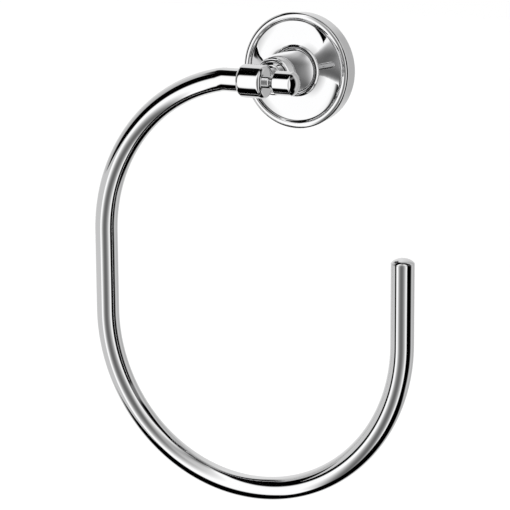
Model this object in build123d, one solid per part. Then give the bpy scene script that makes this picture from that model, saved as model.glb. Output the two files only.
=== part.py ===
from build123d import *
import math
import os

# Open towel ring on a round wall rose. Millimetres.
# The origin is on the wall, at the centre of the rose. +X is right, +Y goes into
# the wall and +Z is up, so the front of the holder looks along -Y. A depth is a
# distance from the wall towards the front.

# Ring: a round tube bent to an open loop, with a straight leg on each side.
tube_d = 10.0
tube_wall = 1.0
ring_r = 72.5            # centre line of the lower half circle and the upper arc
ring_leg = 35.7          # length of the straight leg on the left
free_leg = 35.0          # length of the straight leg at the free end
ring_crown = 1.0         # how far the upper arc would rise over the bar, unbent
bar_bend_r = 16.0        # tighter bend from the upper arc into the level bar
ring_shift = 2.7         # the ring's centre lies this far left of the rose's centre
ring_depth = 46.3        # centre line of the tube, from the wall

# Rose: a cast cover with a rolled rim, a dished face and a bead round the post.
rose_d = 49.8            # plain side, behind the rim
rose_depth = 9.2         # wall to the crest of the rim
rose_wall = 1.6
rim_round = 1.6          # radius of the rolled rim
rim_inset = 0.9          # plain side to the centre of the rim's rounding
rim_crest_in = 1.45      # plain side to the inner edge of the flat crest
rim_fall_in = 2.02       # two points on the sweep, in from the side and down from the crest
rim_fall_drop = 0.2
rim_foot_in = 2.52
rim_foot_drop = 0.67
dish_edge_in = 3.05      # outer edge of the dish, in from the side and down from the crest
dish_edge_drop = 0.95
dish_slope = 8.0         # the dish's slope at its edge, in degrees
dish_r = 15.5            # lowest ring of the dished face
dish_drop = 1.3
hub_depth = 8.2          # seat of the post
hub_wall = 2.4
bead_w = 1.25
bead_h = 1.4

# Wall plate: the disc that is screwed to the wall, hidden in the rose.
plate_gap = 3.3          # between the plate's edge and the inside of the rose
plate_t = 4.2
plate_hole_inset = 6.5   # plate's edge to the centre of a screw hole
plate_hole_d = 4.5
plate_sink_d = 8.8
plate_centre_d = 14.0
plate_edge = 0.3

# Grub screw: holds the rose on the wall plate, from below.
grub_d = 3.0
grub_depth = 2.2
grub_recess = 0.4
grub_key = 1.5
grub_key_depth = 1.6
grub_point = 0.7
boss_w = 7.0
boss_h = 4.2
boss_gap = 0.3           # between the boss and the wall plate's edge

# Post: a turned bell between the rose and the arm's foot.
post_base_d = 20.2
post_foot_h = 0.8
post_flank_d = 18.74     # halfway between the foot and the waist
post_waist_d = 18.4      # where the side runs nearly straight
post_waist_depth = 18.0
post_shoulder_d = 17.94  # halfway between the waist and the lip
post_lip_d = 16.4
post_lip_round = 0.6
post_depth = 29.6        # wall to the post's front face

# Arm: foot, stem and the collar that takes the tube, cast in one.
foot_d = 13.6
foot_sink = 2.0
foot_rise = 0.5
foot_round = 0.4
stem_d = 8.0
stem_root_r = 1.0
collar_d = 14.2
collar_len = 12.1
collar_shift = 0.25      # the collar's middle lies this far right of the post's axis
collar_left_r = 1.6
collar_right_r = 1.6
socket_depth = 8.1

# Clamp screw and its spring washer: hold rose, post and arm together from behind.
clamp_d = 5.0
clamp_head_d = 8.6
clamp_head_h = 2.6
clamp_head_round = 0.9
clamp_slot_w = 1.2
clamp_slot_depth = 1.3
clamp_tip_depth = 36.5
washer_d = 8.2
washer_t = 1.1
washer_gap = 1.0

# End knob: neck, barrel and the stud that draws the tube into the collar.
stud_d = 4.0
stud_reach = 6.4         # length of the stud inside the tube's insert
neck_d = 5.4
neck_len = 2.1
neck_groove = 0.4
cone_len = 2.8
barrel_d = 10.2
barrel_len = 7.7         # up to the edge of its domed end
barrel_dome = 2.45
barrel_flat_r = 0.4      # small flat in the middle of the dome
barrel_left_r = 0.3
barrel_right_r = 0.5

# Insert: the threaded plug brazed in the tube's end.
insert_len = 8.0

# Tip: the domed plug that closes the free end.
tip_rise = 2.45
tip_shoulder = 0.8
tip_plug_len = 6.0

# Clearances between pieces that fit in one another, on the radius.
seat_fit = 0.1           # the post in the bead, and the foot in the post
slip_fit = 0.05          # the tube in its socket, and plugs in the tube
thread_fit = 0.05        # a screw in its threaded hole
free_fit = 0.25          # a screw's shank in a plain hole

# Places that follow from the sizes above.
ring_x = -ring_shift
leg_top_z = ring_crown - ring_r
half_circle_z = leg_top_z - ring_leg
free_end_z = half_circle_z + free_leg
tube_in_r = tube_d / 2 - tube_wall
collar_left_x = collar_shift - collar_len / 2
collar_right_x = collar_shift + collar_len / 2
socket_end_x = collar_left_x + socket_depth
hub_back = hub_depth - hub_wall
plate_r = rose_d / 2 - rose_wall - plate_gap
foot_floor = post_depth - foot_sink
bead_in_r = post_base_d / 2 + seat_fit
screw_hole_r = clamp_d / 2 + free_fit
bar_axis = Axis((0, -ring_depth, 0), (1, 0, 0))
centred_from_start = (Align.CENTER, Align.CENTER, Align.MIN)


def post_cylinder(radius, near, far):
    """Plain cylinder on the post's axis, between two depths."""
    body = Cylinder(radius, far - near, align=centred_from_start)
    return Location((0, -near, 0), (90, 0, 0)) * body


def bar_cylinder(radius, left, right):
    """Plain cylinder on the bar's axis, between two places along X."""
    body = Cylinder(radius, right - left, align=centred_from_start)
    return Location((left, -ring_depth, 0), (0, 90, 0)) * body


def rim(body, axis, last):
    """The circular edge that lies first or last along an axis."""
    return body.edges().filter_by(GeomType.CIRCLE).sort_by(axis)[-1 if last else 0]


def post_points(*points):
    """Points given as (radius, depth), in the plane that holds the post's axis."""
    return [(radius, -depth) for radius, depth in points]


def turned_on_post(outline):
    """Turns a closed outline, drawn beside the post's axis, into a solid."""
    return revolve(make_face(outline), Axis.Y, 360)


def wall_plate():
    """Disc with two countersunk holes, a middle hole and a seat for the grub screw."""
    plate = post_cylinder(plate_r, 0, plate_t)
    plate = chamfer(plate.edges().filter_by(GeomType.CIRCLE), plate_edge)
    plate -= post_cylinder(plate_centre_d / 2, 0, plate_t)
    sink_h = (plate_sink_d - plate_hole_d) / 2
    sink = Cone(plate_hole_d / 2, plate_sink_d / 2, sink_h, align=centred_from_start)
    sink = Location((0, sink_h - plate_t, 0), (90, 0, 0)) * sink
    hole = post_cylinder(plate_hole_d / 2, 0, plate_t) + sink
    for side in (-1, 1):
        plate -= Location((0, 0, side * (plate_r - plate_hole_inset))) * hole
    seat_r = grub_d / 2 + thread_fit
    seat = Cone(seat_r, seat_r - grub_point, grub_point, align=centred_from_start)
    return plate - Location((0, -grub_depth, -plate_r)) * seat


def rose_outline():
    """Half section of the rose: side, rolled rim, dished face, bead, then its inside."""
    side_r = rose_d / 2
    inner_r = side_r - rose_wall
    rim_centre = rose_depth - rim_round
    rim_centre_r = side_r - rim_inset
    side_top = rim_centre - math.sqrt(rim_round**2 - rim_inset**2)
    dish_edge = rose_depth - dish_edge_drop
    dish_depth = rose_depth - dish_drop
    bead_out_r = bead_in_r + bead_w
    bead_top = hub_depth + bead_h
    shoulder = dish_edge - rose_wall
    p = post_points(
        (side_r, 0),
        (side_r, side_top),
        (rim_centre_r + rim_round, rim_centre),
        (rim_centre_r, rose_depth),
        (side_r - rim_crest_in, rose_depth),
        (side_r - rim_fall_in, rose_depth - rim_fall_drop),
        (side_r - rim_foot_in, rose_depth - rim_foot_drop),
        (side_r - dish_edge_in, dish_edge),
        (dish_r, dish_depth),
        (bead_out_r, hub_depth),
        (bead_out_r, bead_top - bead_w / 2),
        (bead_out_r - bead_w / 2, bead_top),
        (bead_in_r, bead_top - bead_w / 2),
        (bead_in_r, hub_depth),
        (screw_hole_r, hub_depth),
        (screw_hole_r, hub_back),
        (bead_in_r, hub_back),
        (dish_r, dish_depth - rose_wall),
        (inner_r - rose_wall, shoulder),
        (inner_r, shoulder - rose_wall),
        (inner_r, 0),
    )
    inward = (-1, 0)
    into_dish = (-1, math.tan(math.radians(dish_slope)))
    return [
        Line(p[0], p[1]),
        ThreePointArc(*p[1:4]),
        Line(p[3], p[4]),
        Spline(*p[4:8], tangents=(inward, into_dish)),
        ThreePointArc(*p[7:10]),
        Line(p[9], p[10]),
        ThreePointArc(*p[10:13]),
        Polyline(*p[12:], p[0]),
    ]


def rose():
    """Cast cover: the turned form, with a threaded boss inside its lower edge."""
    cover = turned_on_post(rose_outline())
    boss_top_z = -(plate_r + boss_gap)
    boss = Box(boss_w, boss_h, rose_d / 2, align=(Align.CENTER, Align.CENTER, Align.MAX))
    boss = Location((0, -grub_depth, boss_top_z)) * boss
    cover += boss & post_cylinder((rose_d - rose_wall) / 2, 0, rose_depth)
    hole_r = grub_d / 2 + thread_fit
    hole = Cylinder(hole_r, rose_d / 2, align=(Align.CENTER, Align.CENTER, Align.MAX))
    return cover - Location((0, -grub_depth, boss_top_z + boss_gap)) * hole


def grub_screw():
    """Headless screw with a hexagon socket, its point in the plate's seat."""
    grub_r = grub_d / 2
    head_z = -(rose_d / 2 - grub_recess)
    tip_z = -(plate_r - grub_point + thread_fit)
    shank_len = tip_z - grub_point - head_z
    shank = Cylinder(grub_r, shank_len, align=centred_from_start)
    point = Cone(grub_r, grub_r - grub_point, grub_point, align=centred_from_start)
    socket = extrude(RegularPolygon(grub_key / 2, 6, major_radius=False), grub_key_depth)
    screw = shank + Location((0, 0, shank_len)) * point - socket
    return Location((0, -grub_depth, head_z)) * screw


def post():
    """Turned bell: wide foot, nearly straight side, narrower lip and a recess for the arm."""
    base_r = post_base_d / 2
    lip_r = post_lip_d / 2
    foot_top = hub_depth + post_foot_h
    lip_back = post_depth - post_lip_round
    recess_r = foot_d / 2 + seat_fit
    p = post_points(
        (screw_hole_r, hub_depth),
        (base_r, hub_depth),
        (base_r, foot_top),
        (post_flank_d / 2, (foot_top + post_waist_depth) / 2),
        (post_waist_d / 2, post_waist_depth),
        (post_shoulder_d / 2, (post_waist_depth + lip_back) / 2),
        (lip_r, lip_back),
        (lip_r - post_lip_round, post_depth),
        (recess_r, post_depth),
        (recess_r, foot_floor),
        (screw_hole_r, foot_floor),
    )
    outline = [
        Polyline(*p[:3]),
        Spline(*p[2:7]),
        Polyline(*p[6:], p[0]),
    ]
    return turned_on_post(outline)


def arm():
    """Foot, stem and collar in one casting, bored for the tube and for two screws."""
    foot_top = post_depth + foot_rise
    foot = post_cylinder(foot_d / 2, foot_floor, foot_top)
    foot = fillet(rim(foot, Axis.Y, False), foot_round)
    stem = post_cylinder(stem_d / 2, foot_top, ring_depth)
    body = foot + stem
    root = body.edges().filter_by(GeomType.CIRCLE).filter_by(lambda e: abs(e.radius - stem_d / 2) < 1e-4)
    body = fillet(root.sort_by(Axis.Y)[-1], stem_root_r)
    collar = bar_cylinder(collar_d / 2, collar_left_x, collar_right_x)
    collar = fillet(rim(collar, Axis.X, False), collar_left_r)
    collar = fillet(rim(collar, Axis.X, True), collar_right_r)
    body += collar
    body -= bar_cylinder(tube_d / 2 + slip_fit, collar_left_x, socket_end_x)
    body -= bar_cylinder(stud_d / 2 + thread_fit, socket_end_x, collar_right_x)
    return body - post_cylinder(clamp_d / 2 + thread_fit, foot_floor, clamp_tip_depth + free_fit)


def clamp_screw():
    """Slotted pan-head screw from behind the rose, through the post, into the stem."""
    head_front = hub_back - washer_t
    head_back = head_front - clamp_head_h
    head = post_cylinder(clamp_head_d / 2, head_back, head_front)
    head = fillet(rim(head, Axis.Y, True), clamp_head_round)
    slot = Box(clamp_head_d, clamp_slot_depth, clamp_slot_w, align=(Align.CENTER, Align.MAX, Align.CENTER))
    head -= Location((0, -head_back, 0)) * slot
    shank = post_cylinder(clamp_d / 2, head_front, clamp_tip_depth)
    return head + chamfer(rim(shank, Axis.Y, False), clamp_d / 10)


def spring_washer():
    """Split ring under the clamp screw's head."""
    near = hub_back - washer_t
    ring = post_cylinder(washer_d / 2, near, hub_back) - post_cylinder(screw_hole_r, near, hub_back)
    cut = Box(washer_d, washer_t, washer_gap, align=(Align.MIN, Align.MAX, Align.CENTER))
    return ring - Location((0, -near, 0)) * cut


def ring_path():
    """Centre line of the tube, from the collar's socket round to the free end."""
    reach = ring_r - bar_bend_r
    rise = reach - ring_crown
    run = math.sqrt(reach**2 - rise**2)
    bend_x = ring_x - run
    bend_turn = math.degrees(math.atan2(run, rise))
    left_x = ring_x - ring_r
    right_x = ring_x + ring_r
    path = Wire(
        [
            Line((socket_end_x, 0), (bend_x, 0)),
            CenterArc((bend_x, -bar_bend_r), bar_bend_r, 90, bend_turn),
            CenterArc((ring_x, leg_top_z), ring_r, 90 + bend_turn, 90 - bend_turn),
            Line((left_x, leg_top_z), (left_x, half_circle_z)),
            CenterArc((ring_x, half_circle_z), ring_r, 180, 180),
            Line((right_x, half_circle_z), (right_x, free_end_z)),
        ]
    )
    return Plane.XZ.offset(ring_depth) * path


def ring_tube():
    """The bent tube, open at both ends."""
    path = ring_path()
    start = Plane(origin=path @ 0, z_dir=path % 0)
    section = start * (Circle(tube_d / 2) - Circle(tube_in_r))
    return sweep(section, path=path)


def tube_insert():
    """Threaded plug flush with the tube's end, inside the collar."""
    left = socket_end_x - insert_len
    plug = bar_cylinder(tube_in_r - slip_fit, left, socket_end_x)
    return plug - bar_cylinder(stud_d / 2 + thread_fit, left, socket_end_x)


def end_knob():
    """Barrel with a domed end, on a cone and a neck, and the stud that reaches into the insert."""
    stud_r = stud_d / 2
    neck_r = neck_d / 2
    barrel_r = barrel_d / 2
    neck_end = collar_right_x + neck_len
    barrel_start = neck_end + cone_len
    barrel_end = barrel_start + barrel_len
    dome_x = barrel_end + barrel_dome
    side = Polyline(
        (dome_x, barrel_flat_r),
        (dome_x, 0),
        (socket_end_x - stud_reach, 0),
        (socket_end_x - stud_reach, stud_r),
        (collar_right_x, stud_r),
        (collar_right_x, neck_r),
        (neck_end - neck_groove, neck_r),
        (neck_end, neck_r - neck_groove),
        (neck_end, neck_r),
        (barrel_start - barrel_left_r, barrel_r - barrel_left_r),
        (barrel_start, barrel_r),
        (barrel_end, barrel_r),
    )
    dome = TangentArc((dome_x, barrel_flat_r), (barrel_end, barrel_r), tangent=(0, 1))
    outline = Location((0, -ring_depth, 0)) * make_face([side, dome])
    knob = revolve(outline, bar_axis, 360)
    edges = knob.edges().filter_by(GeomType.CIRCLE).filter_by(lambda e: abs(e.radius - barrel_r) < 1e-4)
    return fillet(edges.sort_by(Axis.X)[-1], barrel_right_r)


def tip_cap():
    """Domed plug that closes the tube's free end, flush with its outside."""
    tube_r = tube_d / 2
    plug_r = tube_in_r - slip_fit
    shoulder_r = tube_r - tip_shoulder / 2
    dome = Spline((tube_r, 0), (shoulder_r, tip_shoulder), (0, tip_rise), tangents=((0, 1), (-1, 0)))
    plug = Polyline((0, tip_rise), (0, -tip_plug_len), (plug_r, -tip_plug_len), (plug_r, 0), (tube_r, 0))
    cap = revolve(make_face([dome, plug]), Axis.Y, 360)
    return Location((ring_x + ring_r, -ring_depth, free_end_z), (90, 0, 0)) * cap


nodes = {
    "wall_plate": wall_plate,
    "rose": rose,
    "grub_screw": grub_screw,
    "post": post,
    "arm": arm,
    "clamp_screw": clamp_screw,
    "spring_washer": spring_washer,
    "ring_tube": ring_tube,
    "tube_insert": tube_insert,
    "end_knob": end_knob,
    "tip_cap": tip_cap,
}

os.makedirs("parts", exist_ok=True)
for name, build in nodes.items():
    export_step(build(), f"parts/{name}.step")
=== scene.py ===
import math

import bmesh
import bpy
import numpy as np
from mathutils import Matrix, Vector


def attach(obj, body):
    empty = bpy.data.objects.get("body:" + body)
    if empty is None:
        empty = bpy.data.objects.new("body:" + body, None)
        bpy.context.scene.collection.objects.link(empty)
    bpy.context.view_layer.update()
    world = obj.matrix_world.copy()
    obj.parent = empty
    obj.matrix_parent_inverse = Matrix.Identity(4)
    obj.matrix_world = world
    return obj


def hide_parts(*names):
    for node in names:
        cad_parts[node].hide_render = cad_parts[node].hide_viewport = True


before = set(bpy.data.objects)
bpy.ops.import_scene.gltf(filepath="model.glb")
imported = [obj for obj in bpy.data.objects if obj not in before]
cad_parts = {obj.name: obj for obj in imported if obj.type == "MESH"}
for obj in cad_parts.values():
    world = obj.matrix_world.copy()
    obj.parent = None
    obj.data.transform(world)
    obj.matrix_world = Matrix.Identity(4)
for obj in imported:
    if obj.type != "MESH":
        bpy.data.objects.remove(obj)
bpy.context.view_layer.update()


# Wall plate. A zinc plated steel disc that is screwed to the wall and carries the
# rose. It is stamped, countersunk twice and plated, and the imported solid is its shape.

MM = 0.001
ZINC_CRYSTAL = (0.60, 0.62, 0.65)
ZINC_FILM = (0.68, 0.67, 0.60)
# Near black of the painted shade in the chrome's seams and grooves.
SHADE_BLACK = (0.012, 0.012, 0.013)


class Signal:
    """One socket of a shader. Arithmetic on it adds Math nodes, so a pattern reads as a formula."""

    def __init__(self, tree, socket):
        self.tree = tree
        self.socket = socket

    @classmethod
    def node(cls, tree, kind, settings=None, sockets=None, output=0):
        """Adds a node: its settings first, then a value or a link for each socket."""
        made = tree.nodes.new(kind)
        for name, value in (settings or {}).items():
            if name != "stops":
                setattr(made, name, value)
                continue
            stops = made.color_ramp.elements
            stops[0].position, stops[-1].position = value[0][0], value[-1][0]
            for place, _ in value[1:-1]:
                stops.new(place)
            for stop, (_, tone) in zip(stops, value):
                stop.color = (tone, tone, tone, 1)
        for name, value in (sockets or {}).items():
            if isinstance(value, Signal):
                tree.links.new(value.socket, made.inputs[name])
            else:
                made.inputs[name].default_value = value
        return cls(tree, made.outputs[output] if made.outputs else None)

    def maths(self, operation, *terms):
        """A Math node on some terms, or on this signal alone."""
        terms = dict(enumerate(terms or (self,)))
        return Signal.node(self.tree, "ShaderNodeMath", {"operation": operation}, terms)

    def __add__(self, other):
        return self.maths("ADD", self, other)

    __radd__ = __add__

    def __sub__(self, other):
        return self.maths("SUBTRACT", self, other)

    def __rsub__(self, other):
        return self.maths("SUBTRACT", other, self)

    def __mul__(self, other):
        return self.maths("MULTIPLY", self, other)

    __rmul__ = __mul__

    def __pow__(self, other):
        return self.maths("POWER", self, other)

    def eased(self, start, end):
        """Rises smoothly from 0 to 1 between two values of this signal, which may be signals."""
        return Signal.node(
            self.tree,
            "ShaderNodeMapRange",
            {"interpolation_type": "SMOOTHSTEP"},
            {"Value": self, "From Min": start, "From Max": end},
        )


def finish_named(name):
    """A new empty material, with its shader tree and the piece's own place in metres."""
    material = bpy.data.materials.new(name)
    material.use_nodes = True
    tree = material.node_tree
    tree.nodes.clear()
    place = Signal.node(tree, "ShaderNodeTexCoord", output=3)
    return material, tree, place


def mottle(tree, place, size_mm, detail=3.0, roughness=0.5):
    """Soft irregular pattern whose patches are about size_mm across, from 0 to 1."""
    return Signal.node(
        tree,
        "ShaderNodeTexNoise",
        {"noise_dimensions": "3D"},
        {"Vector": place, "Scale": 1 / (size_mm * MM), "Detail": detail, "Roughness": roughness},
    )


def metal(material, tree, colours, blend, roughness, height, height_mm, strength, painted_shade=None):
    """Closes a metal's tree: two colours, their blend, the roughness and the relief.
    The last argument is how far the colour is darkened to near black, from 0 to 1: painted shade in
    a seam or groove."""
    colour = Signal.node(
        tree,
        "ShaderNodeMix",
        {"data_type": "RGBA"},
        {0: blend, 6: (*colours[0], 1), 7: (*colours[1], 1)},
        output=2,
    )
    # Painted shade: the colour is darkened towards near black in the seam and groove bands.
    if painted_shade is not None:
        colour = Signal.node(
            tree,
            "ShaderNodeMix",
            {"data_type": "RGBA"},
            {0: painted_shade, 6: colour, 7: (*SHADE_BLACK, 1)},
            output=2,
        )
    normal = Signal.node(
        tree,
        "ShaderNodeBump",
        sockets={"Strength": strength, "Distance": height_mm * MM, "Height": height},
    )
    surface = Signal.node(
        tree,
        "ShaderNodeBsdfPrincipled",
        sockets={"Base Color": colour, "Metallic": 1.0, "Roughness": roughness, "Normal": normal},
    )
    Signal.node(tree, "ShaderNodeOutputMaterial", sockets={"Surface": surface})
    return material


def zinc_finish(name):
    """Bright zinc: pale bluish grey crystals, a little yellow where the passivation is thick."""
    material, tree, place = finish_named(name)
    cloud = mottle(tree, place, 6.0, detail=4.0)
    grain = mottle(tree, place, 0.35, detail=2.0)
    blend = cloud.eased(0.35, 0.68)
    roughness = 0.26 + 0.14 * grain + 0.08 * cloud
    return metal(material, tree, (ZINC_CRYSTAL, ZINC_FILM), blend, roughness, grain, 0.02, 0.35)


def dress(node, material):
    """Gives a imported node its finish."""
    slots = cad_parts[node].data.materials
    for i in range(len(slots)):
        slots[i] = material


zinc = zinc_finish("zinc_plate")
dress("wall_plate", zinc)


# Rose. A cover of cast brass, polished and chromed: a rolled rim, a short sweep down
# to a shallow dish, and a bead round the foot of the post. A boss inside its lower edge
# is threaded for the grub screw.

# Lengths are in mm. A name in _R is a radius and one in _Z a height, and the other places
# are distances from the wall.
ROSE_R = 24.9
ROSE_CREST = 9.2
ROSE_WALL = 1.6
RIM_ROUND = 1.6
RIM_CENTRE_R = 24.0
CREST_R = 23.45
SWEEP_TOP_R = 22.88
SWEEP_TOP = 9.0
SWEEP_R = 22.38
SWEEP_DEPTH = 8.53
DISH_EDGE_R = 21.85
DISH_EDGE = 8.25
DISH_R = 15.5
DISH_DEPTH = 7.9
HUB_DEPTH = 8.2
HUB_BACK = 5.8
SCREW_HOLE_R = 2.75
BEAD_IN_R = 10.2
BEAD_W = 1.25
BEAD_TOP = 9.58
BEAD_SIDE = 8.85
# The bead's round top: shares of its width from its inner edge, and drops below its top.
BEAD_ROUND = [(0.5, 0.15), (0.3, 0.0), (0.1, 0.1), (0.0, 0.3)]
GRUB_DEPTH = 2.2
GRUB_HOLE_R = 1.55
BOSS_W = 7.0
BOSS_H = 4.2
BOSS_TOP_Z = -20.3
CUT_PAST = 1.0
CRISP_EDGE = math.radians(28)
BAR_DEPTH = 46.3
CHROME = (0.93, 0.93, 0.935)
POLISH = 0.022
HAZE = 0.035
SPECKS = 0.02
MARKS = 0.012
# A band of painted shade in a seam or groove: the axis that it runs round, two distances from it,
# two places along it, blackness.
BEAD_SHADE_BAND = ("post", 10.42, 10.98, 8.7, 10.6, 1.0)
SWEEP_SHADE_BAND = ("post", 21.8, 22.3, 7.9, 8.7, 0.7)


def arc_through(a, b, c, count=24):
    """Points on the circle through three points, from the first past the second to the third.
    The centre is where the two chords' perpendicular bisectors meet, and the angle runs evenly."""
    a, b, c = (np.array(p, float) for p in (a, b, c))
    sides = 2 * np.array([b - a, c - a])
    centre = np.linalg.solve(sides, [b @ b - a @ a, c @ c - a @ a])
    turns = np.unwrap([math.atan2(*(p - centre)[::-1]) for p in (a, b, c)])
    angle = np.linspace(turns[0], turns[2], count)
    radius = np.linalg.norm(a - centre)
    return centre + radius * np.stack([np.cos(angle), np.sin(angle)], -1)


def flowing(points, count=160):
    """A smooth curve through points: a natural cubic spline on their running distance.
    Its second derivatives M solve h0 M0 + 2 (h0 + h1) M1 + h1 M2 = 6 (slope1 - slope0) at each
    inner point, with M zero at both ends."""
    points = np.array(points, float)
    h = np.linalg.norm(np.diff(points, axis=0), axis=1)
    t = np.r_[0, np.cumsum(h)]
    slope = np.diff(points, axis=0) / h[:, None]
    inner = np.diag(2 * (h[:-1] + h[1:])) + np.diag(h[1:-1], 1) + np.diag(h[1:-1], -1)
    bend = np.zeros_like(points)
    bend[1:-1] = np.linalg.solve(inner, 6 * np.diff(slope, axis=0))
    u = np.linspace(0, t[-1], count)
    k = np.clip(np.searchsorted(t, u) - 1, 0, len(h) - 1)
    a, b = ((t[k + 1] - u) / h[k])[:, None], ((u - t[k]) / h[k])[:, None]
    curve = a * points[k] + b * points[k + 1]
    return curve + ((a**3 - a) * bend[k] + (b**3 - b) * bend[k + 1]) * (h[k] ** 2)[:, None] / 6


def softened(outline, rounding, closed, longest=0.7, sharpest=4.5, pitch=0.02):
    """The outline with each corner eased over about `rounding` mm, sampled closely where it turns.
    Even steps of the outline are averaged over a window, and points are then taken at even
    counts of length over `longest` plus turning over `sharpest` degrees. An open outline
    starts and ends on the axis, and is mirrored there so that it meets it squarely."""
    outline = np.array(outline, float)
    if closed:
        outline = np.vstack([outline, outline[:1]])
    travel = np.r_[0, np.cumsum(np.linalg.norm(np.diff(outline, axis=0), axis=1))]
    even = np.linspace(0, travel[-1], int(travel[-1] / pitch) + 1)
    line = np.stack([np.interp(even, travel, outline[:, k]) for k in (0, 1)], -1)
    half = max(int(rounding / pitch / 2), 1)
    if closed:
        line = line[:-1]
        padded = np.vstack([line[-half:], line, line[:half]])
    else:
        mirror = np.array([-1, 1])
        padded = np.vstack([line[half:0:-1] * mirror, line, line[-2:-half - 2:-1] * mirror])
    window = np.hanning(2 * half + 3)[1:-1]
    window /= window.sum()
    line = np.stack([np.convolve(padded[:, k], window, "valid") for k in (0, 1)], -1)
    if closed:
        line = np.vstack([line, line[:1]])
    step = np.diff(line, axis=0)
    heading = np.unwrap(np.arctan2(step[:, 1], step[:, 0]))
    turning = np.r_[0, np.abs(np.diff(heading))]
    cost = np.linalg.norm(step, axis=1) / longest + np.degrees(turning) / sharpest
    ticks = np.r_[0, np.cumsum(cost)]
    wanted = np.linspace(0, ticks[-1], max(int(ticks[-1]), 8))
    picked = np.stack([np.interp(wanted, ticks, line[:, k]) for k in (0, 1)], -1)
    return picked[:-1] if closed else picked


def skin(name, grid, looped):
    """A closed skin over a grid of points in mm, rows by columns, whose columns always join up.
    In a looped grid the last row joins the first. Otherwise each end row closes on its middle."""
    rows, columns = grid.shape[:2]
    points = grid.reshape(-1, 3)
    index = np.arange(rows * columns).reshape(rows, columns)
    below = np.vstack([index, index[:1]]) if looped else index
    a, b = below[:-1], below[1:]
    quads = np.stack([a, np.roll(a, -1, 1), np.roll(b, -1, 1), b], -1).reshape(-1, 4)
    fans = np.zeros((0, 3), int)
    if not looped:
        tips = len(points) + np.array([0, 1])
        points = np.vstack([points, grid[0].mean(0), grid[-1].mean(0)])
        first = np.stack([np.roll(index[0], -1), index[0], np.full(columns, tips[0])], -1)
        last = np.stack([index[-1], np.roll(index[-1], -1), np.full(columns, tips[1])], -1)
        fans = np.vstack([first, last])
    halves = np.vstack([quads[:, :3], quads[:, [0, 2, 3]], fans])
    p, q, r = (points[halves[:, k]] for k in range(3))
    if np.einsum("ij,ij->i", p, np.cross(q, r)).sum() < 0:
        quads, fans = quads[:, ::-1], fans[:, ::-1]
    mesh = bpy.data.meshes.new(name)
    mesh.from_pydata((points * MM).tolist(), [], quads.tolist() + fans.tolist())
    mesh.shade_smooth()
    piece = bpy.data.objects.new(name, mesh)
    bpy.context.scene.collection.objects.link(piece)
    return piece


def all_round(count):
    """Even angles once round a circle, from 0."""
    return np.linspace(0, 2 * math.pi, count, endpoint=False)


def turned(outline, on_bar=False, columns=160):
    """Grid of an outline of (radius, place) turned round the post's axis or the bar's.
    A row at radius r and place t is (r cos v, -t, r sin v) on the post, and
    (t, -BAR_DEPTH - r cos v, r sin v) on the bar, for v all the way round."""
    radius, place = outline[:, :1], outline[:, 1:]
    v = all_round(columns)
    even = np.ones(columns)
    if on_bar:
        return np.stack([place * even, -BAR_DEPTH - radius * np.cos(v), radius * np.sin(v)], -1)
    return np.stack([radius * np.cos(v), -place * even, radius * np.sin(v)], -1)


def combined(piece, tool, operation):
    """Joins a second closed mesh to a piece, or cuts it away, and keeps the finished mesh.
    Faces with more than four corners are split, and edges without a length are closed up."""
    cut = piece.modifiers.new(operation, "BOOLEAN")
    cut.operation = operation
    cut.solver = "EXACT"
    cut.object = tool
    graph = bpy.context.evaluated_depsgraph_get()
    made = bpy.data.meshes.new_from_object(piece.evaluated_get(graph))
    faces = bmesh.new()
    faces.from_mesh(made)
    bmesh.ops.triangulate(faces, faces=[f for f in faces.faces if len(f.verts) > 4])
    bmesh.ops.dissolve_degenerate(faces, dist=0.0005 * MM, edges=faces.edges[:])
    faces.to_mesh(made)
    faces.free()
    piece.modifiers.clear()
    piece.data = made
    bpy.data.objects.remove(tool)


def streaks(tree, distance, pitch_mm):
    """Fine marks along a running distance in metres, about pitch_mm apart, from 0 to 1."""
    return Signal.node(
        tree,
        "ShaderNodeTexNoise",
        {"noise_dimensions": "1D"},
        {"W": distance, "Scale": 1 / (pitch_mm * MM), "Detail": 2.0},
    )


def chrome_finish(name, tone, wave_mm, wave_height, lay=None, seam=None):
    """Bright chrome: near white metal, faintly uneven polish and fine wiping marks.
    `wave_mm` and `wave_height` are the width and height of the casting's or tube's slow ripple.
    `lay` turns a place into the running distance that turning marks follow, in metres.
    `seam` turns a place into how far painted shade darkens it, from 0 to 1."""
    material, tree, place = finish_named(name)
    wave = mottle(tree, place, wave_mm, detail=1.0)
    haze = mottle(tree, place, 14.0, detail=5.0)
    speck = mottle(tree, place, 0.5, detail=3.0)
    roughness = POLISH + HAZE * haze.eased(0.45, 0.8) + SPECKS * speck.eased(0.6, 0.8)
    relief = wave if lay is None else wave + MARKS * streaks(tree, lay(tree, place), 0.12)
    low = tuple(0.975 * c for c in tone)
    # Painted shade in each seam or groove, from 0 to 1.
    painted_shade = None if seam is None else seam(tree, place)
    return metal(material, tree, (low, tone), haze, roughness, relief, wave_height, 1.0, painted_shade)


def place_part(tree, place, axis):
    """One coordinate of a place, in metres."""
    return Signal.node(tree, "ShaderNodeSeparateXYZ", sockets={0: place}, output="XYZ".index(axis))


def about_axis(tree, place, axis):
    """Distance from the post's axis or the bar's, and the place along that axis, in metres.
    The distance is sqrt(a a + z z), where a is the level distance across the axis."""
    x, y, z = (place_part(tree, place, letter) for letter in "XYZ")
    across, along = (x, 0 - y) if axis == "post" else (y + BAR_DEPTH * MM, x)
    return (across * across + z * z) ** 0.5, along


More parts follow.
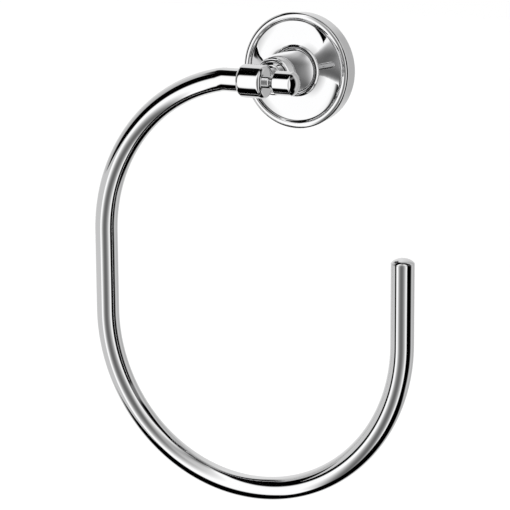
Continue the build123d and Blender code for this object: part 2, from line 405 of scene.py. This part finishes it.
def seam_shade_bands(*bands, soft=0.1):
    """Painted shade: near black painted into bands at each seam or groove, where shade falls. A
    band gives the axis that it runs round, two distances from it, two places along it, in mm, and
    how black it is, from 0 to 1."""

    def between(value, low, high):
        rising = value.eased((low - soft) * MM, (low + soft) * MM)
        return rising * (1 - value.eased((high - soft) * MM, (high + soft) * MM))

    def shade_at(tree, place):
        total = 0
        for axis, inner, outer, low, high, full in bands:
            distance, along = about_axis(tree, place, axis)
            total = total + full * between(distance, inner, outer) * between(along, low, high)
        return total

    return shade_at


def cast_finish(name, *bands):
    """Chrome on a casting, whose slow ripple is taller than that of a turned piece, with painted
    shade in the given bands.
    """
    return chrome_finish(name, CHROME, wave_mm=9.0, wave_height=0.03, seam=seam_shade_bands(*bands))


rim_centre = ROSE_CREST - RIM_ROUND
side_top = rim_centre - math.sqrt(RIM_ROUND**2 - (ROSE_R - RIM_CENTRE_R) ** 2)
bead_out_r = BEAD_IN_R + BEAD_W
shoulder = DISH_EDGE - ROSE_WALL
rose_outline = np.vstack(
    [
        [(ROSE_R, 0)],
        arc_through(
            (ROSE_R, side_top), (RIM_CENTRE_R + RIM_ROUND, rim_centre), (RIM_CENTRE_R, ROSE_CREST)
        ),
        flowing(
            [
                (CREST_R, ROSE_CREST),
                (SWEEP_TOP_R, SWEEP_TOP),
                (SWEEP_R, SWEEP_DEPTH),
                (DISH_EDGE_R, DISH_EDGE),
            ],
            count=60,
        )[1:-1],
        arc_through((DISH_EDGE_R, DISH_EDGE), (DISH_R, DISH_DEPTH), (bead_out_r, HUB_DEPTH)),
        [(bead_out_r, BEAD_SIDE)],
        [(BEAD_IN_R + share * BEAD_W, BEAD_TOP - drop) for share, drop in BEAD_ROUND],
        [
            (BEAD_IN_R, HUB_DEPTH),
            (SCREW_HOLE_R, HUB_DEPTH),
            (SCREW_HOLE_R, HUB_BACK),
            (BEAD_IN_R, HUB_BACK),
            (DISH_R, DISH_DEPTH - ROSE_WALL),
            (ROSE_R - 2 * ROSE_WALL, shoulder),
            (ROSE_R - ROSE_WALL, shoulder - ROSE_WALL),
            (ROSE_R - ROSE_WALL, 0),
        ],
    ]
)
rose_line = softened(rose_outline, rounding=0.14, closed=True)
rose = skin("rose_cover", turned(rose_line, columns=200), looped=True)


def block(name, low, high):
    """A plain closed box between two corners in mm: a square ring at its bottom and at its top,
    stretched from the low corner to the high one."""
    low, high = np.array(low, float), np.array(high, float)
    ring = np.array([(0, 0), (1, 0), (1, 1), (0, 1)], float)
    grid = np.array([[(x, y, z) for x, y in ring] for z in (0.0, 1.0)])
    return skin(name, low + grid * (high - low), looped=False)


boss = block(
    "boss",
    (-BOSS_W / 2, -GRUB_DEPTH - BOSS_H / 2, -ROSE_R + ROSE_WALL / 2),
    (BOSS_W / 2, -GRUB_DEPTH + BOSS_H / 2, BOSS_TOP_Z),
)
combined(rose, boss, "UNION")
v = all_round(48)
bore_x, bore_y = GRUB_HOLE_R * np.cos(v), -GRUB_DEPTH + GRUB_HOLE_R * np.sin(v)
bore_ends = (-ROSE_R - CUT_PAST, BOSS_TOP_Z + CUT_PAST)
bore_grid = np.array([np.stack([bore_x, bore_y, 0 * v + z], -1) for z in bore_ends])
combined(rose, skin("grub_bore", bore_grid, looped=False), "DIFFERENCE")
rose.data.set_sharp_from_angle(angle=CRISP_EDGE)

# The rose's chrome carries painted shade round the bead and at the dish's outer edge.
cast_chrome = cast_finish("cast_chrome", BEAD_SHADE_BAND, SWEEP_SHADE_BAND)
rose.data.materials.clear()
rose.data.materials.append(cast_chrome)
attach(rose, "root")
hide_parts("rose")


# Grub screw. A small stainless screw with a hexagon socket, threaded through the rose's
# boss from below until its point sits in the wall plate's edge.

STEEL_DARK = (0.50, 0.49, 0.48)
STEEL_LIGHT = (0.60, 0.59, 0.57)


def stainless_finish(name):
    """Plain stainless steel, a little darker than chrome, with fine marks across its length."""
    material, tree, place = finish_named(name)
    marks = streaks(tree, place_part(tree, place, "Z"), 0.1)
    cloud = mottle(tree, place, 1.2)
    roughness = 0.22 + 0.12 * cloud
    return metal(material, tree, (STEEL_DARK, STEEL_LIGHT), cloud, roughness, marks, 0.01, 0.5)


dress("grub_screw", stainless_finish("stainless"))


# Post. Turned from brass bar and chromed: a wide foot inside the bead, a nearly
# straight side and a narrower lip, with a recess in its face for the arm's foot.

POST_BASE_R = 10.1
POST_FOOT = 9.0
# Points down the side, as radius and distance from the wall.
POST_SIDE = [(9.86, 10.0), (9.66, 11.1), (9.43, 13.0), (9.28, 15.4)]
POST_SIDE += [(9.2, 19.0), (9.09, 22.0), (8.81, 25.4)]
POST_LIP_R = 8.2
POST_LIP_ROUND = 0.6
POST_FACE = 29.6
FOOT_FLOOR = 27.6
FOOT_R = 6.8
SEAT_FIT = 0.1
# Painted shade round the arm's foot where it sits in the post's face.
FOOT_SHADE_BAND = ("post", 6.6, 6.95, 29.0, 30.6, 1.0)


def along_post(tree, place):
    """Minus the distance from the wall, in metres."""
    return place_part(tree, place, "Y")


lip_back = POST_FACE - POST_LIP_ROUND
recess_r = FOOT_R + SEAT_FIT
post_outline = np.vstack(
    [
        [(SCREW_HOLE_R, HUB_DEPTH), (POST_BASE_R, HUB_DEPTH)],
        flowing([(POST_BASE_R, POST_FOOT), *POST_SIDE, (POST_LIP_R, lip_back)]),
        [
            (POST_LIP_R - POST_LIP_ROUND, POST_FACE),
            (recess_r, POST_FACE),
            (recess_r, FOOT_FLOOR),
            (SCREW_HOLE_R, FOOT_FLOOR),
        ],
    ]
)
post_line = softened(post_outline, rounding=0.25, closed=True)
post = skin("post_bell", turned(post_line, columns=144), looped=True)
# The post's chrome has painted shade round the recess for the arm's foot.
post_chrome = chrome_finish("turned_chrome_post", CHROME, 12.0, 0.012, along_post, seam_shade_bands(FOOT_SHADE_BAND))
post.data.materials.append(post_chrome)
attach(post, "root")
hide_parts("post")


# Arm. One brass casting: a round foot sunk in the post's face, a short stem and the
# collar across it, bored from the left for the tube and from the right for the stud.

FOOT_FRONT = 30.1
FOOT_ROUND = 0.4
STEM_R = 4.0
STEM_ROOT = 1.0
STEM_FLARE = 0.7
STEM_SUNK = 0.5
STEM_CLOSE_R = 0.2
STEM_END = 38.0
COLLAR_R = 7.1
COLLAR_LEFT = -5.8
COLLAR_RIGHT = 6.3
COLLAR_LEFT_ROUND = 1.6
COLLAR_RIGHT_ROUND = 1.6
SOCKET_END = 2.3
SOCKET_R = 5.05
STUD_HOLE_R = 2.05
TAP_R = 2.55
TAP_END = 36.75


def quarter(centre, radius, start, end, count=14):
    """Points on an arc: the centre plus radius (cos a, sin a), for even angles a from start to
    end, in degrees."""
    angle = np.radians(np.linspace(start, end, count))
    return np.array(centre) + radius * np.stack([np.cos(angle), np.sin(angle)], -1)


left_centre = (COLLAR_R - COLLAR_LEFT_ROUND, COLLAR_LEFT + COLLAR_LEFT_ROUND)
right_centre = (COLLAR_R - COLLAR_RIGHT_ROUND, COLLAR_RIGHT - COLLAR_RIGHT_ROUND)
collar_outline = np.vstack(
    [
        [(SOCKET_R, SOCKET_END), (SOCKET_R, COLLAR_LEFT)],
        quarter(left_centre, COLLAR_LEFT_ROUND, -90, 0),
        quarter(right_centre, COLLAR_RIGHT_ROUND, 0, 90),
        [(STUD_HOLE_R, COLLAR_RIGHT), (STUD_HOLE_R, SOCKET_END)],
    ]
)
collar_line = softened(collar_outline, rounding=0.12, closed=True)
collar = skin("collar", turned(collar_line, on_bar=True, columns=160), looped=True)


def collar_back(x, z):
    """Depth of the collar's wall side at a place: its centre less the circle's half chord there.
    The radius falls off along each end's rounding, and never past the rounding's own circle."""
    left = np.clip((COLLAR_LEFT + COLLAR_LEFT_ROUND - x) / COLLAR_LEFT_ROUND, 0, 1)
    radius = COLLAR_R - COLLAR_LEFT_ROUND * (1 - np.sqrt(1 - left**2))
    return BAR_DEPTH - np.sqrt(radius**2 - z**2)


v = all_round(144)
flare = np.radians(np.linspace(0, 90, 12))[:, None]
flare_r = STEM_R + STEM_FLARE * (1 - np.cos(flare)) + 0 * v
flare_drop = STEM_FLARE * (1 - np.sin(flare))
flare_depth = collar_back(flare_r * np.cos(v), flare_r * np.sin(v)) - flare_drop
inside_r = np.linspace(STEM_R + STEM_FLARE, STEM_CLOSE_R, 12)[:, None] + 0 * v
inside_depth = collar_back(inside_r * np.cos(v), inside_r * np.sin(v)) + STEM_SUNK
foot_outline = np.vstack(
    [
        [(0, TAP_END), (TAP_R, TAP_END), (TAP_R, FOOT_FLOOR), (FOOT_R, FOOT_FLOOR)],
        quarter((FOOT_R - FOOT_ROUND, FOOT_FRONT - FOOT_ROUND), FOOT_ROUND, 0, 90),
        quarter((STEM_R + STEM_ROOT, FOOT_FRONT + STEM_ROOT), STEM_ROOT, 270, 180),
        [(STEM_R, STEM_END)],
    ]
)
foot_line = softened(foot_outline, rounding=0.12, closed=False)[1:-1]
ring_r = np.vstack([foot_line[:, :1] + 0 * v, flare_r, inside_r])
ring_depth = np.vstack([foot_line[:, 1:] + 0 * v, flare_depth, inside_depth])
stem_grid = np.stack([ring_r * np.cos(v), -ring_depth, ring_r * np.sin(v)], -1)
combined(collar, skin("stem", stem_grid, looped=False), "UNION")
arm = collar
arm.name = arm.data.name = "arm_casting"
arm.data.set_sharp_from_angle(angle=CRISP_EDGE)
arm.data.materials.clear()
# The arm's chrome has painted shade round its foot.
arm.data.materials.append(cast_finish("cast_chrome_arm", FOOT_SHADE_BAND))
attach(arm, "root")
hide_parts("arm")


# Clamp screw and its spring washer. A slotted pan-head screw draws the rose, the post
# and the arm together from behind. Both are zinc plated steel and hidden in the rose.

dress("clamp_screw", zinc)
dress("spring_washer", zinc)


# Insert. A plug turned from brass bar and threaded for the knob's stud. It is brazed
# in the tube's end, inside the collar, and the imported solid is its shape.

BRASS_BRIGHT = (0.78, 0.57, 0.28)
BRASS_DULL = (0.66, 0.47, 0.24)


def along_bar(tree, place):
    """The distance to the right of the post's axis, in metres."""
    return place_part(tree, place, "X")


def brass_finish(name):
    """Bare turned brass with fine rings along its length and a dull film in places."""
    material, tree, place = finish_named(name)
    marks = streaks(tree, along_bar(tree, place), 0.15)
    film = mottle(tree, place, 2.0)
    roughness = 0.2 + 0.2 * film
    return metal(material, tree, (BRASS_BRIGHT, BRASS_DULL), film, roughness, marks, 0.01, 0.6)


dress("tube_insert", brass_finish("brass"))


# Ring. One brass tube bent to an open loop and chromed after bending. Its left end
# slides into the collar's socket and its free end stands up on the right.

TUBE_R = 5.0
TUBE_BORE_R = 4.0
TUBE_EDGE = 0.2
TUBE_END_RINGS = (4.6, 4.2)
TUBE_CRISP_EDGE = math.radians(50)
RING_R = 72.5
RING_LEG = 35.7
FREE_LEG = 35.0
RING_CROWN = 1.0
RING_X = -2.7
BEND_R = 16.0

reach = RING_R - BEND_R
rise = reach - RING_CROWN
run = math.sqrt(reach**2 - rise**2)
bend_x = RING_X - run
bend_turn = math.atan2(run, rise)
leg_top = RING_CROWN - RING_R
quarter_left = math.pi / 2 - bend_turn
run_lengths = [
    SOCKET_END - bend_x,
    BEND_R * bend_turn,
    RING_R * quarter_left,
    RING_LEG,
    RING_R * math.pi,
    FREE_LEG,
]
run_turns = [0, bend_turn, quarter_left, 0, math.pi, 0]
run_steps = [14, 22, 52, 16, 112, 16]
ends = np.r_[0, np.cumsum(run_lengths)]


def bent_line(stations):
    """Places and headings along the tube's centre line, for distances from the socket's end.
    The heading grows evenly in each bend. Each step moves by its chord, ds sin(h)/h with h half
    the step's turn, along the heading halfway, which is exact on lines and arcs alike."""
    heading = np.interp(stations, ends, math.pi + np.r_[0, np.cumsum(run_turns)])
    ds, turn = np.diff(stations), np.diff(heading)
    middle = heading[:-1] + turn / 2
    chord = ds * np.sinc(turn / 2 / math.pi)
    x = SOCKET_END + np.r_[0, np.cumsum(chord * np.cos(middle))]
    z = np.r_[0, np.cumsum(chord * np.sin(middle))]
    return x, z, heading


def piped(name, stations, outline, columns):
    """A tube's closed skin: a loop of (station number, radius) carried along the bent line.
    A point is the line's place plus r cos v across the line in the ring's plane and r sin v to
    the front, for v all the way round."""
    x, z, heading = bent_line(stations)
    row, radius = outline[:, 0].astype(int), outline[:, 1][:, None]
    x, z, heading = x[row][:, None], z[row][:, None], heading[row][:, None]
    v = all_round(columns)
    across = radius * np.cos(v)
    grid_x, grid_z = x - across * np.sin(heading), z + across * np.cos(heading)
    return skin(name, np.stack([grid_x, -BAR_DEPTH - radius * np.sin(v), grid_z], -1), looped=True)


fine = TUBE_EDGE * (1 - np.cos(np.radians([0, 18, 36, 54, 72, 90])))
spans = [np.linspace(a, b, n, endpoint=False) for a, b, n in zip(ends[:-1], ends[1:], run_steps)]
stations = np.unique(np.r_[fine, np.concatenate(spans), ends[-1] - fine, ends[-1]].round(9))
last = len(stations) - 1
outside = np.arange(len(stations))
from_end = np.minimum(stations, ends[-1] - stations)
near_edge = np.clip(1 - from_end / TUBE_EDGE, 0, 1)
outer_r = TUBE_R - TUBE_EDGE * (1 - np.sqrt(1 - near_edge**2))
end_rings = np.array([(last, radius) for radius in TUBE_END_RINGS])
start_rings = np.array([(0, radius) for radius in TUBE_END_RINGS[::-1]])
outer = np.stack([outside, outer_r], -1)
inner = np.stack([outside[::-1], 0 * outer_r + TUBE_BORE_R], -1)
tube_loop = np.vstack([outer, end_rings, inner, start_rings])
ring = piped("ring_tube_bent", stations, tube_loop, columns=96)
ring.data.set_sharp_from_angle(angle=TUBE_CRISP_EDGE)
ring.data.materials.append(chrome_finish("tube_chrome", CHROME, wave_mm=22.0, wave_height=0.02))
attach(ring, "root")
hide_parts("ring_tube")


# Tip. A domed plug turned from brass bar and chromed. It is pressed into the tube's
# free end, and its dome covers the tube's wall.

TIP_RISE = 2.45
TIP_PLUG_R = 3.95
TIP_PLUG = 6.0
TIP_EDGE = 0.25
DOME_POWER = 1.7

free_end = leg_top - RING_LEG + FREE_LEG

# The dome is the curve (r / R)**p + (z / rise)**p = 1, with p the dome's power.
r_share = np.sin(np.linspace(0, math.pi / 2, 60))
dome_z = TIP_RISE * np.clip(1 - r_share**DOME_POWER, 0, 1) ** (1 / DOME_POWER)
tip_outline = np.vstack(
    [
        np.stack([TUBE_R * r_share, dome_z], -1)[:-1],
        [(TUBE_R, TIP_EDGE), (TUBE_R, 0), (TIP_PLUG_R, 0), (TIP_PLUG_R, -TIP_PLUG), (0, -TIP_PLUG)],
    ]
)
tip_line = softened(tip_outline, rounding=0.2, closed=False)[1:-1]
tip_r, tip_z = tip_line[:, :1], tip_line[:, 1:]
v = all_round(96)
tip_x, tip_y = RING_X + RING_R + tip_r * np.cos(v), -BAR_DEPTH + tip_r * np.sin(v)
tip = skin("tip_dome", np.stack([tip_x, tip_y, free_end + tip_z + 0 * v], -1), looped=False)
tip_chrome = chrome_finish("turned_chrome_tip", CHROME, wave_mm=12.0, wave_height=0.01)
tip.data.materials.append(tip_chrome)
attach(tip, "root")
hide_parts("tip_cap")


# End knob. Turned from brass bar and chromed: a stud that draws the tube home, a neck,
# a short cone and a barrel with a domed end.

STUD_R = 2.0
STUD_START = -4.1
NECK_R = 2.7
NECK_END = 8.4
NECK_GROOVE = 0.4
CONE_END = 11.2
BARREL_R = 5.1
BARREL_END = 18.9
BARREL_DOME = 2.45
BARREL_FLAT_R = 0.4
BARREL_LEFT_ROUND = 0.3
BARREL_RIGHT_ROUND = 0.5
# Painted shade in the neck's groove at the foot of the cone.
CONE_SHADE_BAND = ("bar", 0.0, 3.9, NECK_END - 0.1, NECK_END + 0.7, 0.7)

dome_r = (BARREL_R**2 + BARREL_DOME**2) / (2 * BARREL_DOME)
dome_centre = BARREL_END + BARREL_DOME - dome_r
round_r = BARREL_R - BARREL_RIGHT_ROUND
round_x = math.sqrt((dome_r - BARREL_RIGHT_ROUND) ** 2 - round_r**2)
lean = math.degrees(math.atan2(round_x, round_r))
flat_lean = math.degrees(math.acos(BARREL_FLAT_R / dome_r))
knob_outline = np.vstack(
    [
        [
            (0, STUD_START),
            (STUD_R, STUD_START),
            (STUD_R, COLLAR_RIGHT),
            (NECK_R, COLLAR_RIGHT),
            (NECK_R, NECK_END - NECK_GROOVE),
            (NECK_R - NECK_GROOVE, NECK_END),
            (NECK_R, NECK_END),
            (BARREL_R - BARREL_LEFT_ROUND, CONE_END - BARREL_LEFT_ROUND),
            (BARREL_R, CONE_END),
        ],
        quarter((round_r, dome_centre + round_x), BARREL_RIGHT_ROUND, 0, lean),
        quarter((0, dome_centre), dome_r, lean, flat_lean, count=40),
        [(0, BARREL_END + BARREL_DOME)],
    ]
)
knob_line = softened(knob_outline, rounding=0.15, closed=False)[1:-1]
knob = skin("end_knob_barrel", turned(knob_line, on_bar=True, columns=128), looped=False)
# The knob's chrome has painted shade where the neck meets the cone.
knob_chrome = chrome_finish("turned_chrome_knob", CHROME, 12.0, 0.01, along_bar, seam_shade_bands(CONE_SHADE_BAND))
knob.data.materials.append(knob_chrome)
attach(knob, "root")
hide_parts("end_knob")


# Studio. A pale floor well below the holder, a soft lamp, and white walls with the dark
# gaps that give polished metal its stripes. Nothing of this is part of the object.

FLOOR_Z = -450.0
FLOOR_HALF = 4000.0
FLOOR_WHITE = (0.99, 0.99, 0.99)
ROOM_LIGHT = 1.03
MIRROR_LIGHT = 1.08
MIRROR_CONTRAST = 2.2
DARKEST = 0.01


def compass(degrees):
    """Place on a ramp of a direction: 0 is behind, 0.5 straight out from the wall, and 0.75 to
    the right."""
    return degrees / 360 + 0.5


world = bpy.data.worlds.new("studio")
bpy.context.scene.world = world
world.use_nodes = True
sky = world.node_tree
sky.nodes.clear()
direction = Signal.node(sky, "ShaderNodeTexCoord", output=0)
east = place_part(sky, direction, "X")
north = place_part(sky, direction, "Y")
height = place_part(sky, direction, "Z")
bearing = east.maths("ARCTAN2", east, 0 - north) * (180 / math.pi)
elevation = height.maths("ARCSINE") * (180 / math.pi)
turn = bearing * (1 / 360) + 0.5


def round_the_walls(stops):
    """A value that depends on the direction round the compass, from stops of (degrees, value)."""
    places = [(compass(degrees), value) for degrees, value in stops]
    return Signal.node(sky, "ShaderNodeValToRGB", {"stops": places}, {0: turn})


def patch(left, right, low, high, soft):
    """1 inside a patch of wall between two bearings and two elevations in degrees, and 0 outside,
    with soft edges."""

    def between(angle, start, end):
        return angle.eased(start - soft, start + soft) * (1 - angle.eased(end - soft, end + soft))

    return between(bearing, left, right) * between(elevation, low, high)


walls = round_the_walls(
    [
        (-180, 0.78),
        (-150, 0.86),
        (-125, 0.84),
        (-105, 0.76),
        (-80, 0.69),
        (-62, 0.76),
        (-44, 0.80),
        (-38, 0.92),
        (-32, 1.0),
        (-24, 1.0),
        (-19, 0.88),
        (-14, 0.75),
        (-7, 0.59),
        (0, 0.48),
        (8, 0.41),
        (16, 0.39),
        (26, 0.44),
        (36, 0.56),
        (46, 0.72),
        (53, 0.86),
        (60, 0.97),
        (66, 0.96),
        (70, 0.02),
        (107, 0.01),
        (116, 0.62),
        (124, 0.77),
        (132, 0.75),
        (150, 0.68),
        (164, 0.68),
        (180, 0.78),
    ]
)
floor_line = round_the_walls(
    [
        (-180, 0.37),
        (-130, 0.38),
        (-116, 0.50),
        (-100, 0.60),
        (-85, 0.63),
        (-43, 0.61),
        (-40, 0.20),
        (-30, 0.18),
        (20, 0.10),
        (45, 0.18),
        (58, 0.27),
        (67, 0.33),
        (109, 0.52),
        (116, 0.58),
        (126, 0.54),
        (140, 0.50),
        (150, 0.46),
        (165, 0.42),
        (180, 0.37),
    ]
)

# Bright and dark patches of wall: two bearings, two elevations, softness and strength.
BRIGHT_PATCHES = [(70, 111, 28, 85, 3.0, 0.42), (-10, 48, 30, 99, 12.0, 0.26)]
DARK_PATCHES = [
    (81, 124, 41, 99, 4.0, 1.0),
    (64, 136, 66, 99, 4.0, 1.0),
    (-73, -38, -60, 60, 3.0, 1.0),
    (-120, -41, 46, 84, 4.0, 0.9),
]
tone = walls
for *edges, share in BRIGHT_PATCHES:
    tone = tone + share * patch(*edges)
for *edges, share in DARK_PATCHES:
    tone = tone * (1 - share * patch(*edges))

# The walls darken upwards, end at a black ceiling and stand on a black floor. A floor line
# of f lies at 90 f - 87 degrees of elevation, and its soft edge is 10 degrees wide.
upper_walls = 1 - 0.3 * elevation.eased(60, 80)
below_ceiling = 1 - elevation.eased(81, 86)
above_floor = elevation.eased(floor_line * 90 - 92, floor_line * 90 - 82)
tone = tone * upper_walls * below_ceiling * above_floor
mirrored = MIRROR_LIGHT * tone.maths("MAXIMUM", tone, DARKEST) ** MIRROR_CONTRAST

rays = {
    name: Signal.node(sky, "ShaderNodeLightPath", output=number)
    for name, number in (("camera", 0), ("glossy", 3), ("transmission", 6))
}

# The camera sees plain white, polished metal mirrors the walls, and all else is lit evenly.
looking = rays["camera"] + rays["glossy"] + rays["transmission"]
seen = rays["camera"] + rays["transmission"] + rays["glossy"] * mirrored
strength = seen + (1 - looking) * ROOM_LIGHT
shine = Signal.node(
    sky, "ShaderNodeBackground", sockets={"Color": (1, 1, 1, 1), "Strength": strength}
)
Signal.node(sky, "ShaderNodeOutputWorld", sockets={"Surface": shine})


def pane(name, corners):
    """A flat four-cornered sheet, corners in mm."""
    mesh = bpy.data.meshes.new(name)
    mesh.from_pydata([tuple(MM * c for c in p) for p in corners], [], [(0, 1, 2, 3)])
    sheet = bpy.data.objects.new(name, mesh)
    bpy.context.scene.collection.objects.link(sheet)
    return sheet


floor = pane(
    "floor",
    [
        (-FLOOR_HALF, -FLOOR_HALF, FLOOR_Z),
        (FLOOR_HALF, -FLOOR_HALF, FLOOR_Z),
        (FLOOR_HALF, FLOOR_HALF, FLOOR_Z),
        (-FLOOR_HALF, FLOOR_HALF, FLOOR_Z),
    ],
)
floor_paint, tree, place = finish_named("floor_paint")
glossy = Signal.node(tree, "ShaderNodeLightPath", output=3)
behind = Signal.node(tree, "ShaderNodeNewGeometry", output=6)
clear = Signal.node(tree, "ShaderNodeBsdfTransparent")
paint = Signal.node(tree, "ShaderNodeBsdfDiffuse", sockets={"Color": (*FLOOR_WHITE, 1)})
hidden = glossy.maths("MAXIMUM", glossy, behind)
shown = Signal.node(tree, "ShaderNodeMixShader", sockets={0: hidden, 1: paint, 2: clear})
Signal.node(tree, "ShaderNodeOutputMaterial", sockets={"Surface": shown})
floor.data.materials.append(floor_paint)

# The card shows in mirrors only. It stands to the left of the ring and reaches below it.
CARD_BEARING = -52.0
CARD_DISTANCE = 354.0
CARD_TOP = -43.0
CARD_BOTTOM = -302.0
CARD_LEFT = -420.0
CARD_RIGHT = 72.0
CARD_LIGHT = 0.6

bearing_turn = math.radians(CARD_BEARING)
out = np.array([math.sin(bearing_turn), -math.cos(bearing_turn), 0])
side = np.array([math.cos(bearing_turn), math.sin(bearing_turn), 0])
up = np.array([0, 0, 1])
card = pane(
    "white_card",
    [
        CARD_DISTANCE * out + s * side + z * up
        for s, z in (
            (CARD_LEFT, CARD_BOTTOM),
            (CARD_RIGHT, CARD_BOTTOM),
            (CARD_RIGHT, CARD_TOP),
            (CARD_LEFT, CARD_TOP),
        )
    ],
)
card_paint, tree, place = finish_named("card_paint")
glow = Signal.node(
    tree, "ShaderNodeEmission", sockets={"Color": (1, 1, 1, 1), "Strength": CARD_LIGHT}
)
Signal.node(tree, "ShaderNodeOutputMaterial", sockets={"Surface": glow})
card.data.materials.append(card_paint)
card.visible_camera = card.visible_diffuse = card.visible_shadow = card.visible_transmission = False

# The lamp's places and size are in metres.
LAMP_PLACE = Vector((-0.5, -0.9, 1.1))
LAMP_TARGET = Vector((0, 0, -0.1))
LAMP_WIDTH = 0.9
LAMP_WATTS = 4.0

lamp = bpy.data.lights.new("soft_lamp", "AREA")
lamp.shape = "DISK"
lamp.size = LAMP_WIDTH
lamp.energy = LAMP_WATTS
lamp_holder = bpy.data.objects.new("soft_lamp", lamp)
lamp_holder.location = LAMP_PLACE
lamp_holder.rotation_euler = (LAMP_TARGET - LAMP_PLACE).to_track_quat("-Z", "Y").to_euler()
lamp_holder.visible_glossy = False
lamp_holder.visible_camera = False
bpy.context.scene.collection.objects.link(lamp_holder)

CAMERA_PLACE = Vector((460.187, -892.006, 131.901)) * MM
CAMERA_TARGET = Vector((-0.073, -46.26, -75.218)) * MM
CAMERA_ROLL = -0.379
CAMERA_LENS = 161.678
SENSOR_WIDTH = 36.0

camera = bpy.data.cameras.new("camera")
camera.lens = CAMERA_LENS
camera.sensor_width = SENSOR_WIDTH
camera.clip_start = 0.05
camera.clip_end = 40.0
holder = bpy.data.objects.new("camera", camera)
aim = (CAMERA_TARGET - CAMERA_PLACE).to_track_quat("-Z", "Y").to_matrix().to_4x4()
roll = Matrix.Rotation(math.radians(CAMERA_ROLL), 4, "Z")
holder.matrix_world = Matrix.Translation(CAMERA_PLACE) @ aim @ roll
bpy.context.scene.collection.objects.link(holder)
bpy.context.scene.camera = holder
bpy.context.scene.view_settings.view_transform = "Standard"
